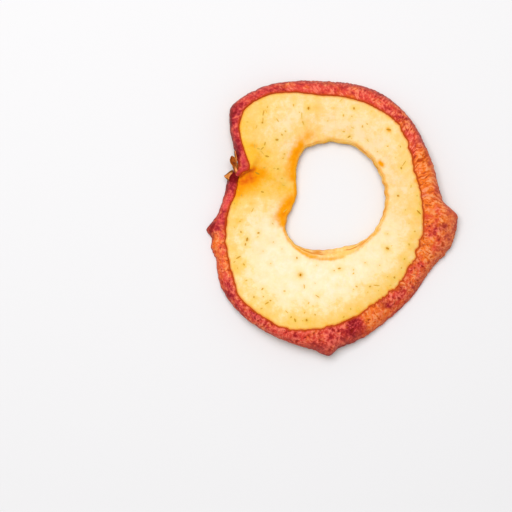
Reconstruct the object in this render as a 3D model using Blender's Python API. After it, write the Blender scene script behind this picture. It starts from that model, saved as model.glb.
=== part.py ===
"""A dried apple ring, in metres, +Z up.

It is one slice of a red apple, cut beside the core line and dried flat. A round cutter took out
the core, which left the hole. The peel is still on the rim. It slopes outwards and down, so it
shows from above as a red band of uneven width. On the left the rim folds in at the blossom end,
where a few dry sepals still stick out. The origin is under the middle of the slice.
"""

import bisect
import math

import bmesh
import bpy
import numpy as np
from mathutils import Vector, noise

# Outlines, seen from above: angle in degrees about the middle of the hole, and radius in metres.
HOLE_EDGE = (
    (0, 0.0137), (30, 0.0139), (50, 0.0148), (75, 0.0155), (100, 0.0158), (118, 0.0159),
    (135, 0.0143), (150, 0.0121), (172, 0.0105), (186, 0.0114), (200, 0.0136), (212, 0.0154),
    (235, 0.0159), (260, 0.0152), (285, 0.0140), (310, 0.0128), (335, 0.0131),
)
FLESH_EDGE = (
    (0, 0.0220), (20, 0.0210), (36, 0.0226), (50, 0.0250), (66, 0.0256), (84, 0.0264),
    (98, 0.0271), (112, 0.0297), (124, 0.0321), (134, 0.0329), (142, 0.0313), (155, 0.0251),
    (160, 0.0239), (166, 0.0261), (174, 0.0257), (186, 0.0277), (200, 0.0300), (212, 0.0320),
    (224, 0.0350), (246, 0.0351), (262, 0.0329), (278, 0.0301), (295, 0.0274), (315, 0.0256),
    (335, 0.0237), (350, 0.0225),
)
RIM = (
    (0, 0.0272), (12, 0.0262), (28, 0.0264), (50, 0.0281), (72, 0.0296), (92, 0.0301),
    (108, 0.0319), (124, 0.0346), (138, 0.0359), (143, 0.0340), (152, 0.0293), (161, 0.0266),
    (167, 0.0277), (176, 0.0280), (186, 0.0302), (193, 0.0336), (198, 0.0334), (206, 0.0348),
    (218, 0.0368), (232, 0.0380), (252, 0.0382), (262, 0.0387), (267, 0.0398), (271, 0.0378),
    (280, 0.0360), (293, 0.0333), (308, 0.0312), (324, 0.0300), (340, 0.0317), (352, 0.0314),
    (356, 0.0293),
)

# How far the wall of the hole slopes in, from its upper edge to its lower one.
HOLE_SLOPE = (
    (0, 0.0012), (60, 0.0014), (100, 0.0012), (130, 0.0005), (185, 0.0003), (205, 0.0005),
    (222, 0.0014), (240, 0.0026), (264, 0.0033), (284, 0.0027), (304, 0.0014), (332, 0.0009),
)

# Heights above the underside, before the slice warps.
LIP_HEIGHT = 0.0023
MIDDLE_SWELL = 0.0006
PEEL_TOP = 0.0040
PEEL_RIDGE = 0.0002
FLESH_GROOVE = 0.0003
UNDER_ARCH = 0.0007
PEEL_TUCK = 0.0006
LIP_ROUND = 0.0006

# The warp: the rim lifts at three corners and stands on the three stretches between them.
WARP_REACH = 0.0330
LIFT_OF_THREE = 0.0018
LIFT_OF_TWO = 0.0008
CORNER_ANGLE = 138.0
SADDLE_ANGLE = 20.0

# The blossom end: the upper flap of the rim ends high above the lower one, which dips there.
FLAP_START = 128.0
FLAP_END = 160.0
FLAP_STEP = 7.0
FLAP_LIFT = 0.0013
TUCKED_ANGLE = 168.0
TUCKED_DROP = 0.0004
TUCKED_SPREAD = 9.0
VALLEY_DEPTH = 0.0007
VALLEY_SPREAD = 10.0
CURL_ANGLE = 165.0
CURL_DROP = 0.0006
CURL_SPREAD = 32.0

# Relief on the surface, as (depth, size) in metres.
FLESH_RELIEF = (0.00022, 0.0045)
PEEL_RELIEF = (0.00028, 0.0026)
FOOT_CUT = 0.00035

# The two dry sepals at the blossom end. For each one: where its root is (angle, radius, height),
# its heading and length, its half widths at the root, past the middle and at the tip, its rise.
SEPALS = (
    (164.6, 0.0258, 0.0034, 113.0, 0.0049, (0.00040, 0.00105, 0.00035), 0.0004),
    (167.8, 0.0268, 0.0024, 184.0, 0.0023, (0.00160, 0.00070, 0.00015), 0.0002),
)
SEPAL_THICKNESS = 0.0007
SEPAL_SIDES = 8
SEPAL_STEPS = 6

# The mesh: stations round the ring, and points across each strip of its section.
STATIONS = 168
FLESH_POINTS = 8
PEEL_POINTS = 6
UNDER_POINTS = 6
WALL_POINTS = 3

FLESH_COLOUR = (0.92, 0.72, 0.36, 1.0)
PEEL_COLOUR = (0.60, 0.12, 0.06, 1.0)
SEPAL_COLOUR = (0.30, 0.15, 0.05, 1.0)


def clear_scene():
    for thing in list(bpy.data.objects):
        bpy.data.objects.remove(thing)


def plain_material(name, colour, roughness):
    material = bpy.data.materials.new(name)
    material.use_nodes = True
    shader = material.node_tree.nodes["Principled BSDF"]
    shader.inputs["Base Color"].default_value = colour
    shader.inputs["Roughness"].default_value = roughness
    shader.inputs["Metallic"].default_value = 0.0
    return material


def knot_slope(knots, i):
    """The curve's slope at a knot: level at a peak or a dip, so that it never overshoots."""
    count = len(knots)
    before = knots[i - 1]
    here = knots[i]
    after = knots[(i + 1) % count]
    rise_in = (here[1] - before[1]) / ((here[0] - before[0]) % 360)
    rise_out = (after[1] - here[1]) / ((after[0] - here[0]) % 360)
    if rise_in * rise_out <= 0:
        return 0.0
    return 2 * rise_in * rise_out / (rise_in + rise_out)


def along(knots, angle):
    """The value at an angle in degrees, on a smooth closed curve through the knots."""
    angle %= 360
    i = bisect.bisect_right([knot[0] for knot in knots], angle) - 1
    start, start_value = knots[i]
    end, end_value = knots[(i + 1) % len(knots)]
    span = (end - start) % 360
    t = ((angle - start) % 360) / span
    slope_in = knot_slope(knots, i) * span
    slope_out = knot_slope(knots, (i + 1) % len(knots)) * span
    return (
        (2 * t**3 - 3 * t**2 + 1) * start_value
        + (t**3 - 2 * t**2 + t) * slope_in
        + (3 * t**2 - 2 * t**3) * end_value
        + (t**3 - t**2) * slope_out
    )


def hump(angle, centre, spread):
    """1 at the centre angle, falling to nothing a few spreads away."""
    away = (angle - centre + 180) % 360 - 180
    return math.exp(-((away / spread) ** 2))


def ease(t):
    t = min(max(t, 0.0), 1.0)
    return t * t * (3 - 2 * t)


def section(angle):
    """The closed section at one angle, as (radius, height) from the hole's upper edge outwards."""
    hole = along(HOLE_EDGE, angle)
    slope = along(HOLE_SLOPE, angle)
    flesh = along(FLESH_EDGE, angle)
    rim = along(RIM, angle)
    points = []
    for i in range(FLESH_POINTS):
        t = i / FLESH_POINTS
        height = LIP_HEIGHT + (PEEL_TOP - LIP_HEIGHT) * ease(t)
        height += MIDDLE_SWELL * math.sin(math.pi * t)
        height -= FLESH_GROOVE * ease((t - 0.7) / 0.3)
        points.append((hole + (flesh - hole) * t, height))
    for i in range(PEEL_POINTS + 1):
        turn = math.pi / 2 * i / PEEL_POINTS
        height = PEEL_TUCK + (PEEL_TOP + PEEL_RIDGE - PEEL_TUCK) * math.cos(turn)
        points.append((flesh + (rim - flesh) * math.sin(turn), height))
    outer = rim - PEEL_TUCK
    inner = hole - slope + LIP_ROUND
    for i in range(UNDER_POINTS + 1):
        t = i / UNDER_POINTS
        points.append((outer + (inner - outer) * t, UNDER_ARCH * math.sin(math.pi * t)))
    for i in range(WALL_POINTS):
        t = (i + 0.5) / WALL_POINTS
        bow = LIP_ROUND * math.sin(math.pi * t)
        points.append((inner + (hole - inner) * t - bow, LIP_HEIGHT * t))
    return points


def warp(angle, radius):
    """How far the slice lifts or sinks here, from drying unevenly."""
    reach = min(radius / WARP_REACH, 1.2)
    lift = LIFT_OF_THREE * math.cos(math.radians(3 * (angle - CORNER_ANGLE)))
    lift += LIFT_OF_TWO * math.cos(math.radians(2 * (angle - SADDLE_ANGLE)))
    lift *= reach**2
    outer = ease((radius / along(FLESH_EDGE, angle) - 0.75) / 0.25)
    flap = ease((angle - FLAP_START) / (FLAP_END - FLAP_START))
    flap *= 1 - ease((angle - FLAP_END) / FLAP_STEP)
    lift += FLAP_LIFT * flap * outer
    lift -= TUCKED_DROP * hump(angle, TUCKED_ANGLE, TUCKED_SPREAD) * outer
    inner = 1 - ease((radius - along(HOLE_EDGE, angle)) / 0.006)
    lift -= VALLEY_DEPTH * hump(angle, TUCKED_ANGLE, VALLEY_SPREAD) * (1 - 0.5 * inner)
    lift -= CURL_DROP * hump(angle, CURL_ANGLE, CURL_SPREAD) * inner
    return lift


def polar(angle, radius, height):
    turn = math.radians(angle)
    return Vector((radius * math.cos(turn), radius * math.sin(turn), height))


def relief(point, depth, size):
    """Soft bumps of about this size."""
    first = noise.noise(point / size)
    second = noise.noise(point / (size * 0.5) + Vector((7.0, 3.0, 5.0)))
    return depth * (first + 0.5 * second)


def ring_grid():
    """The points of the ring, station by station, with their relief pushed out along the normals."""
    grid = []
    for station in range(STATIONS):
        angle = 360 * station / STATIONS
        row = [polar(angle, r, h + warp(angle, r)) for r, h in section(angle)]
        grid.append(row)
    grid = np.array(grid)
    round_ring = np.roll(grid, -1, 0) - np.roll(grid, 1, 0)
    round_section = np.roll(grid, -1, 1) - np.roll(grid, 1, 1)
    normals = np.cross(round_section, round_ring)
    normals /= np.linalg.norm(normals, axis=2, keepdims=True)
    peel_start = FLESH_POINTS
    peel_end = FLESH_POINTS + PEEL_POINTS
    for i in range(grid.shape[0]):
        for j in range(grid.shape[1]):
            kind = PEEL_RELIEF if peel_start < j <= peel_end else FLESH_RELIEF
            grid[i, j] += normals[i, j] * relief(Vector(grid[i, j]), *kind)
    return grid


def rest_on_floor(grid):
    """Levels the ring on its three low stretches and flattens them a little where they touch."""
    for _ in range(3):
        feet = []
        for foot in (CORNER_ANGLE - 60, CORNER_ANGLE + 60, CORNER_ANGLE + 180):
            start = round((foot - 25) / 360 * STATIONS)
            end = round((foot + 25) / 360 * STATIONS)
            points = grid[start:end].reshape(-1, 3)
            feet.append(points[points[:, 2].argmin()])
        feet = np.array(feet)
        tilt = np.linalg.solve(np.c_[feet[:, :2], np.ones(3)], feet[:, 2])
        grid[:, :, 2] -= grid[:, :, 0] * tilt[0] + grid[:, :, 1] * tilt[1] + tilt[2]
    grid[:, :, 2] = np.maximum(grid[:, :, 2] - FOOT_CUT, 0.0)
    return grid


def ring_mesh(grid, middle):
    """A closed mesh from the grid, with the peel's faces in the second material."""
    bm = bmesh.new()
    verts = [[bm.verts.new(Vector(point) - middle) for point in row] for row in grid]
    stations = len(verts)
    across = len(verts[0])
    peel_start = FLESH_POINTS
    peel_end = FLESH_POINTS + PEEL_POINTS
    for i in range(stations):
        for j in range(across):
            k = (i + 1) % stations
            n = (j + 1) % across
            face = bm.faces.new((verts[i][j], verts[i][n], verts[k][n], verts[k][j]))
            face.material_index = 1 if peel_start <= j <= peel_end else 0
            face.smooth = True
    bmesh.ops.triangulate(bm, faces=bm.faces)
    bmesh.ops.recalc_face_normals(bm, faces=bm.faces)
    mesh = bpy.data.meshes.new("apple_ring")
    bm.to_mesh(mesh)
    bm.free()
    return mesh


def half_width(widths, t):
    """The half width of a sepal, on the parabola through its three widths."""
    root, middle, tip = widths
    bend = (middle - root - 0.6 * (tip - root)) / (0.6 * 0.4)
    return root + (tip - root) * t + bend * t * (1 - t)


def sepal(index, angle, radius, height, heading, length, widths, rise, middle):
    """One dry sepal: a small flat leaf whose root lies inside the rim."""
    bm = bmesh.new()
    rings = []
    for i in range(SEPAL_STEPS + 1):
        t = i / SEPAL_STEPS
        ring = []
        for k in range(SEPAL_SIDES):
            turn = 2 * math.pi * k / SEPAL_SIDES
            side = half_width(widths, t) * math.cos(turn)
            thick = SEPAL_THICKNESS / 2 * math.sin(turn) * (1 - 0.4 * t)
            ring.append(bm.verts.new((length * t, side, rise * t + thick)))
        rings.append(ring)
    for low, high in zip(rings, rings[1:]):
        for k in range(SEPAL_SIDES):
            n = (k + 1) % SEPAL_SIDES
            bm.faces.new((low[k], low[n], high[n], high[k]))
    bm.faces.new(rings[0])
    bm.faces.new(rings[-1])
    bmesh.ops.recalc_face_normals(bm, faces=bm.faces)
    mesh = bpy.data.meshes.new(f"sepal_{index}")
    bm.to_mesh(mesh)
    bm.free()
    leaf = bpy.data.objects.new(f"sepal_{index}", mesh)
    leaf.rotation_euler.z = math.radians(heading)
    leaf.location = polar(angle, radius, height) - middle
    leaf.data.materials.append(plain_material("sepal", SEPAL_COLOUR, 0.7))
    return leaf


def join_sepals(ring, leaves):
    """Fuses the sepals to the rim with one union, then removes the loose ones."""
    group = bpy.data.collections.new("sepals")
    bpy.context.scene.collection.children.link(group)
    for leaf in leaves:
        group.objects.link(leaf)
    union = ring.modifiers.new("join_sepals", "BOOLEAN")
    union.operation = "UNION"
    union.operand_type = "COLLECTION"
    union.collection = group
    bpy.context.view_layer.update()
    graph = bpy.context.evaluated_depsgraph_get()
    joined = bpy.data.meshes.new_from_object(ring.evaluated_get(graph))
    ring.modifiers.clear()
    ring.data = joined
    for leaf in leaves:
        bpy.data.objects.remove(leaf)
    bpy.data.collections.remove(group)


def main():
    clear_scene()
    grid = rest_on_floor(ring_grid())
    low = grid.min(axis=(0, 1))
    high = grid.max(axis=(0, 1))
    middle = Vector(((low[0] + high[0]) / 2, (low[1] + high[1]) / 2, 0.0))
    ring = bpy.data.objects.new("apple_ring", ring_mesh(grid, middle))
    bpy.context.scene.collection.objects.link(ring)
    ring.data.materials.append(plain_material("flesh", FLESH_COLOUR, 0.6))
    ring.data.materials.append(plain_material("peel", PEEL_COLOUR, 0.45))
    leaves = [sepal(i, *sizes, middle) for i, sizes in enumerate(SEPALS)]
    join_sepals(ring, leaves)
    print("hole centre from the origin, in metres:", -middle)


main()
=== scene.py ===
# %% [markdown]
# # A dried apple ring
#
# The real thing is one slice of a red apple, cut beside the core line and dried until it is
# leathery. It has three visible stuffs: pale flesh with a cored hole, a wrinkled red peel on the
# rim, and a few dry sepals at the blossom end, where the rim folds in.
#
# We could sculpt such a slice, or displace a flat disc with a picture. Here it is worked out from
# a few outlines read at many angles, because then every piece (flesh, peel, flecks) can use the
# same outlines and still fit the others when one of them changes.

import math

import bpy
import numpy as np
from mathutils import Matrix, Vector
from mathutils.bvhtree import BVHTree


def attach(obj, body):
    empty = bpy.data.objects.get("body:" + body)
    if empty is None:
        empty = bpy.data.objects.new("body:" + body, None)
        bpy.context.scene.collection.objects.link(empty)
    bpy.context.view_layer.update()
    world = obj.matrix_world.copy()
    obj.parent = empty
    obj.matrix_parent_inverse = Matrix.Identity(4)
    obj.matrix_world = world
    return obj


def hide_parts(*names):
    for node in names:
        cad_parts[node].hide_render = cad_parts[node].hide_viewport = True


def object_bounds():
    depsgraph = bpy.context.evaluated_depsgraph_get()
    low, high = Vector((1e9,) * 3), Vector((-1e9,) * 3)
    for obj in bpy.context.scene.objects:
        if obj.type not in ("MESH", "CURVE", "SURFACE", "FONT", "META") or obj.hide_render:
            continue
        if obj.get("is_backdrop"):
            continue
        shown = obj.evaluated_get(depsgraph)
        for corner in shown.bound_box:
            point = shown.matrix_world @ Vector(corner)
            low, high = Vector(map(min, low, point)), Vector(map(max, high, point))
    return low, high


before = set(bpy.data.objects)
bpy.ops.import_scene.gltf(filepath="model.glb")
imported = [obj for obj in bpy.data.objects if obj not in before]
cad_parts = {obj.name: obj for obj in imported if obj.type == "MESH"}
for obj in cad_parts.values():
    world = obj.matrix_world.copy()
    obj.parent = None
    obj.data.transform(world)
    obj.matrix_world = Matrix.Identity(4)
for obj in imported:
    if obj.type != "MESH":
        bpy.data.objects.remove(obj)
cad_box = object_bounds()
print("the packed ring fills", [round(float(v), 4) for corner in cad_box for v in corner])

# %% [markdown]
# ## The outlines
#
# Seen from above, the slice is three closed curves round the middle of the hole: the upper edge of
# the hole, the border between flesh and peel, and the rim. A curve could be a Bezier object, but a
# short list of (angle, radius) knots is easier to read back at any angle, and we need thousands of
# readings. The curve between the knots is a cubic that never overshoots them.

# %% Outlines of the slice, in degrees and metres
HOLE_CENTRE = (0.000905, 0.00457)
HOLE_EDGE = (
    (0, 0.0130), (30, 0.0135), (50, 0.0143), (75, 0.0153), (100, 0.0157), (118, 0.0159),
    (135, 0.0143), (150, 0.0121), (172, 0.0105), (186, 0.0114), (200, 0.0136), (212, 0.0154),
    (235, 0.0159), (260, 0.0152), (285, 0.0140), (310, 0.0130), (335, 0.0128),
)
HOLE_SLOPE = (
    (0, 0.0007), (60, 0.0010), (100, 0.0010), (130, 0.0005), (185, 0.0003), (212, 0.0004),
    (224, 0.0007), (232, 0.0013), (241, 0.0023), (252, 0.0029), (266, 0.0033), (282, 0.0029),
    (298, 0.0017), (312, 0.0008), (334, 0.0006),
)
BORDER = (
    (0, 0.0216), (20, 0.0210), (30, 0.0220), (36.3, 0.0226), (38.4, 0.0235), (42, 0.0235),
    (46, 0.0240), (50, 0.0249), (66, 0.0256), (84, 0.0264), (98, 0.0271),
    (112, 0.0297), (124, 0.0321), (134, 0.0329), (142, 0.0313), (150, 0.0275), (155, 0.0250),
    (158, 0.0239), (160.5, 0.0236), (164, 0.0250), (168, 0.0254),
    (174, 0.0256), (186, 0.0277), (200, 0.0300), (212, 0.0319), (219, 0.0333), (225, 0.0349),
    (246, 0.0351), (262, 0.0329), (278, 0.0301), (295, 0.0274), (304, 0.0269), (315, 0.0254),
    (324, 0.0247), (331, 0.0238), (338, 0.0235), (350, 0.0223),
)
RIM = (
    (0, 0.0272), (12, 0.0262), (28, 0.0265), (50, 0.0284), (72, 0.0301), (92, 0.0306),
    (108, 0.0323), (124, 0.0348), (138, 0.0360), (143, 0.0342), (152, 0.0298), (157, 0.0277),
    (161, 0.0267), (165, 0.0273), (168, 0.0281), (176, 0.0286), (186, 0.0304), (189, 0.0318),
    (193, 0.0341), (197, 0.0333), (201, 0.0343), (205, 0.0342), (211, 0.0355), (218, 0.0370),
    (232, 0.0380), (252, 0.0382), (262, 0.0387),
    (267, 0.0398), (271, 0.0378), (280, 0.0360), (293, 0.0334), (308, 0.0315), (324, 0.0301),
    (340, 0.0317), (352, 0.0314), (356, 0.0293),
)


def outline(knots, angles):
    """Reads a closed curve through (angle, value) knots at many angles."""
    x = np.array([knot[0] for knot in knots], float)
    y = np.array([knot[1] for knot in knots], float)
    gap = np.diff(x, append=x[0] + 360)
    after = (np.roll(y, -1) - y) / gap
    before = np.roll(after, 1)
    level = after * before <= 0
    slope = np.where(level, 0, 2 * after * before / np.where(level, 1, after + before))
    turned = np.mod(angles, 360)
    i = np.searchsorted(x, turned, "right") - 1
    j = (i + 1) % len(x)
    t = np.mod(turned - x[i], 360) / gap[i]
    ends = (2 * t**3 - 3 * t**2 + 1) * y[i] + (3 * t**2 - 2 * t**3) * y[j]
    bends = (t**3 - 2 * t**2 + t) * slope[i] + (t**3 - t**2) * slope[j]
    return ends + bends * gap[i]


def ease(t):
    t = np.clip(t, 0, 1)
    return t * t * (3 - 2 * t)


def hump(angle, centre, spread):
    """1 at the centre angle, falling to nothing a few spreads away."""
    away = np.mod(angle - centre + 180, 360) - 180
    return np.exp(-((away / spread) ** 2))


every_degree = np.arange(360.0)
band = outline(RIM, every_degree) - outline(BORDER, every_degree)
print(f"the peel shows {band.min() * 1000:.1f} to {band.max() * 1000:.1f} mm wide")

# %% [markdown]
# ## A torn edge
#
# A knife leaves a clean border, but drying puckers it: the peel's cut edge has small nicks every
# millimetre or two. One sine wave would look machined. A sum of many waves with random heights
# and phases, all close to one pitch, looks torn, and it still closes on itself after a full turn.


# %% Nicks round an outline
def nicks(angles, waves, seed):
    """A seeded wobble of about unit size, with roughly so many waves round the ring."""
    dice = np.random.default_rng(seed)
    counts = range(int(waves * 0.5), int(waves * 1.5), max(1, waves // 40))
    total = np.zeros_like(angles, float)
    for count in counts:
        total += dice.normal() * np.cos(np.radians(angles) * count + dice.uniform(0, 2 * math.pi))
    return total / math.sqrt(len(counts) / 2)


NICKED = (
    (0, 0.25), (25, 0.3), (40, 0.8), (60, 0.4), (90, 0.25), (180, 0.35), (240, 0.5), (270, 0.8),
    (295, 1.25), (325, 1.1), (350, 0.35),
)


def border_at(angles):
    depth = 0.00013 * outline(NICKED, angles)
    wobble = nicks(angles, 46, 3) + 0.45 * nicks(angles, 120, 4)
    return outline(BORDER, angles) + depth * wobble


def rim_at(angles):
    return outline(RIM, angles) + 0.00004 * nicks(angles, 60, 5) + 0.00003 * nicks(angles, 150, 6)


print("nicks reach", round(float(abs(nicks(every_degree, 46, 3)).max()), 2), "times their depth")

# %% [markdown]
# ## How the slice warps
#
# A slice dries unevenly, so its rim lifts at three corners and rests on the three stretches between
# them. At the blossom end the upper flap of the rim stands above the lower one. A lattice or a
# cloth simulation could bend a flat slice. A height that is added by formula is simpler here, and
# every piece that is placed through the same function bends with the others.

# %% Heights of the section and of the warp, in metres
LIP_HEIGHT = 0.0023
MIDDLE_SWELL = 0.0006
PEEL_TOP = 0.0040
PEEL_TUCK = 0.0006
UNDER_ARCH = 0.0007
FLAP_LIFT = 0.0013
TUCKED_DROP = 0.0004
TILT = (-0.018677, -0.0013811)
SINK = -0.0012578
CORNER_RISE, CORNER_ANGLE = 0.0018, 138
SADDLE_RISE, SADDLE_ANGLE = 0.0008, 20
USUAL_RADIUS = 0.033
FOLD_DROP, FOLD_ANGLE = 0.0005, 168
HOLE_DROP, HOLE_DROP_ANGLE = 0.0006, 165


def lift(angle, radius, step):
    """How far the slice lifts here. Step is 0 on the upper flap's side, and 1 on the lower one's."""
    rise = CORNER_RISE * np.cos(np.radians(3 * (angle - CORNER_ANGLE)))
    rise = rise + SADDLE_RISE * np.cos(np.radians(2 * (angle - SADDLE_ANGLE)))
    rise = rise * np.minimum(radius / USUAL_RADIUS, 1.2) ** 2
    outer = ease((radius / outline(BORDER, angle) - 0.75) / 0.25)
    turned = np.mod(angle, 360)
    flap = FLAP_LIFT * ease((turned - 128) / 32) * (turned < 185)
    tucked = TUCKED_DROP * hump(angle, FOLD_ANGLE, 9)
    rise = rise + outer * ((1 - step) * flap - step * tucked)
    inner = 1 - ease((radius - outline(HOLE_EDGE, angle)) / 0.006)
    rise = rise - FOLD_DROP * hump(angle, FOLD_ANGLE, 14) * (1 - 0.5 * inner)
    return rise - HOLE_DROP * hump(angle, HOLE_DROP_ANGLE, 32) * inner


def place(angle, radius, height, step):
    """Points of the warped slice, standing on z = 0."""
    x = radius * np.cos(np.radians(angle))
    y = radius * np.sin(np.radians(angle))
    z = height + lift(angle, radius, step) - x * TILT[0] - y * TILT[1] - SINK
    return np.stack((x + HOLE_CENTRE[0], y + HOLE_CENTRE[1], np.maximum(z, 0)), -1)


print("the border at the flap stands", place(150.0, 0.0275, PEEL_TOP, 0.0)[2].round(4), "high")

# %% [markdown]
# ## From sections to a skin
#
# The flesh and the peel are both sections that are carried round the ring. The section is a short
# list of control points, and a B-spline reads many soft points from it, so its corners come out
# rounded as on dried fruit. The Screw modifier could turn one section, but here the section changes
# at every angle, so the grid of points is built directly.


# %% Sections, grids and meshes
def soft_section(controls, count, shown=None, share=None):
    """Reads a B-spline through a loop of controls. The first ones can get a larger share."""
    knots = controls.shape[1]
    t = np.arange(count) / count * knots
    if shown:
        t = np.interp(np.arange(count) / count, (0, share, 1), (0, shown, knots))
    i = np.floor(t).astype(int)
    f = t - i
    weights = ((1 - f) ** 3, 3 * f**3 - 6 * f**2 + 4, -3 * f**3 + 3 * f**2 + 3 * f + 1, f**3)
    matrix = np.zeros((count, knots))
    for k, weight in enumerate(weights):
        np.add.at(matrix, (np.arange(count), (i + k - 1) % knots), weight / 6)
    return np.einsum("sk,ak...->as...", matrix, controls)


def put(name, data):
    """A new object at the origin of the scene."""
    thing = bpy.data.objects.new(name, data)
    bpy.context.scene.collection.objects.link(thing)
    return thing


def skin(name, grid, wrap):
    """A mesh over a grid of points whose sections are closed. Wrap joins the last section on."""
    stations, across = grid.shape[:2]
    i = np.arange(stations if wrap else stations - 1)[:, None]
    j = np.arange(across)[None, :]
    k = (i + 1) % stations
    n = (j + 1) % across
    corners = (i * across + j, i * across + n, k * across + n, k * across + j)
    faces = np.stack([np.broadcast_to(c, (len(i), across)) for c in corners], -1).reshape(-1, 4)
    points = grid.reshape(-1, 3).tolist()
    faces = faces.tolist()
    if not wrap:
        last = (stations - 1) * across
        faces.append(list(range(across))[::-1])
        faces.append(list(range(last, last + across)))
    mesh = bpy.data.meshes.new(name)
    mesh.from_pydata(points, [], faces)
    mesh.shade_smooth()
    print(f"{name}: {len(points)} points, {len(faces)} faces")
    return put(name, mesh)


def note(thing, name, values):
    """Keeps one number, or one vector, for every point of a piece."""
    values = np.asarray(values, np.float32)
    single = values.size == len(thing.data.vertices)
    kind, field = ("FLOAT", "value") if single else ("FLOAT_VECTOR", "vector")
    attribute = thing.data.attributes.new(name, kind, "POINT")
    attribute.data.foreach_set(field, values.ravel())


def measure(points):
    """Millimetres along a row of points, from its first."""
    steps = np.linalg.norm(np.diff(points, axis=-2), axis=-1)
    start = np.zeros((*steps.shape[:-1], 1))
    return np.concatenate((start, np.cumsum(steps, axis=-1)), -1) * 1000


# %% [markdown]
# ## The flesh
#
# The flesh is one closed body: the upper cut face, the wall of the hole, the lower cut face, and a
# side that stays hidden inside the peel. The core was cut out at a slant, so the wall of the hole
# faces up at the bottom of the ring and can be seen there. Each point also keeps how far it is from
# the peel, and colours worked out from how far it is from the hole, because the colour changes with
# both.

# %% The flesh as a closed ring
flesh_angles = np.union1d(np.linspace(0, 360, 620, endpoint=False), np.linspace(152, 172, 90))
a = flesh_angles
hole, border, rim = outline(HOLE_EDGE, a), border_at(a), rim_at(a)
hole = hole + 0.00006 * nicks(a, 26, 8)
slope = outline(HOLE_SLOPE, a)
rows = []


def control(radius, height, wall=0.0, buried=0.0):
    rows.append([np.broadcast_to(v, a.shape) for v in (radius, height, wall, buried)])


def top_height(t):
    height = LIP_HEIGHT + (PEEL_TOP - LIP_HEIGHT) * ease(t) + MIDDLE_SWELL * np.sin(math.pi * t)
    return height - 0.0001 * ease((t - 0.7) / 0.3)


for t in np.linspace(0.05, 0.985, 24):
    control(hole + (border - hole) * t, top_height(t))
control(border + 0.0002, PEEL_TOP - 0.0003, buried=1)
for turn in np.radians((14, 32, 52, 72)):
    radius = border + (rim - border - 0.0004) * np.sin(turn)
    control(radius, PEEL_TUCK + (PEEL_TOP - PEEL_TUCK - 0.0007) * np.cos(turn), buried=1)
control(rim - 0.0006, 0.0006, buried=1)
outer, inner = rim - 0.0009, hole - slope + 0.0006
for t in np.linspace(0, 1, 18):
    control(outer + (inner - outer) * t, 0.0001 + UNDER_ARCH * math.sin(math.pi * t))
for t in np.linspace(0.12, 0.86, 6):
    bow = 0.0005 * math.sin(math.pi * t)
    control(inner + (hole - inner) * t - bow, LIP_HEIGHT * t, wall=1)
control(hole - 0.00005, LIP_HEIGHT - 0.0001, wall=0.4)
section = soft_section(np.array(rows).transpose(2, 0, 1), 138)
flesh_radius, flesh_height, wall, buried = (section[..., k] for k in range(4))
angle_grid = np.broadcast_to(a[:, None], flesh_radius.shape)
step_at = 159.8 + 5.0 * np.clip((flesh_radius - 0.0233) / 0.0019, 0, 1)
sharp = ease((flesh_radius - 0.0215) / 0.0022)
flesh_step = sharp * ease((angle_grid - step_at) / 2.2)
flesh_step = flesh_step + (1 - sharp) * ease((angle_grid - 140) / 40)
flesh_grid = place(angle_grid, flesh_radius, flesh_height, flesh_step)
flesh = skin("apple_flesh", flesh_grid, wrap=True)

# %% [markdown]
# ## What the flesh remembers
#
# Cut apple browns where it dries last or is bruised: along the hole, under the fold of the blossom
# end and in a few spots. A painted mask could hold that. Named spots (where, how large, how strong)
# say the same in a few lines, and curves round the ring say where it is creamy, yellow or tanned.
# The step between the two flaps of the fold gets painted shade from the knob that lies over it: a
# brownish line, and the second of the brown streaks.

# %% Yellowing and brown stains of the flesh
YELLOWING = (
    (0, 0.22), (30, 0.22), (50, 0.20), (70, 0.30), (95, 0.38), (118, 0.40), (138, 0.62),
    (155, 0.95), (168, 1.0), (178, 0.72), (188, 0.40), (205, 0.12), (230, 0.04), (270, -0.01),
    (300, 0.05), (330, 0.12),
)
YELLOW_BY_THE_PEEL = (
    (0, 0.55), (40, 0.40), (80, 0.18), (110, 0.18), (135, 0.42), (165, 0.30), (190, 0.36),
    (225, 0.62), (260, 1.0), (290, 0.95), (320, 0.68),
)
YELLOW_STREAKS = (
    (((100, 0.0262), (102, 0.0225), (105, 0.0170)), 0.0011, 0.30),
    (((166, 0.0215), (160, 0.0160)), 0.0040, 0.25),
    (((148, 0.0250), (146, 0.0215)), 0.0020, 0.30),
    (((120, 0.0200), (112, 0.0190)), 0.0022, 0.35),
    (((205, 0.0285), (214, 0.0295)), 0.0014, 0.25),
    (((180, 0.0259), (184, 0.0261)), 0.0008, 0.45),
    (((192, 0.0253), (191, 0.0257)), 0.0006, 0.50),
    (((216, 0.0313), (213, 0.0312)), 0.0009, 0.45),
)
TANNED = ((0, 0.8), (45, 0.9), (90, 0.8), (120, 0.5), (150, 0.0), (270, 0.0), (310, 0.3))
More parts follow.
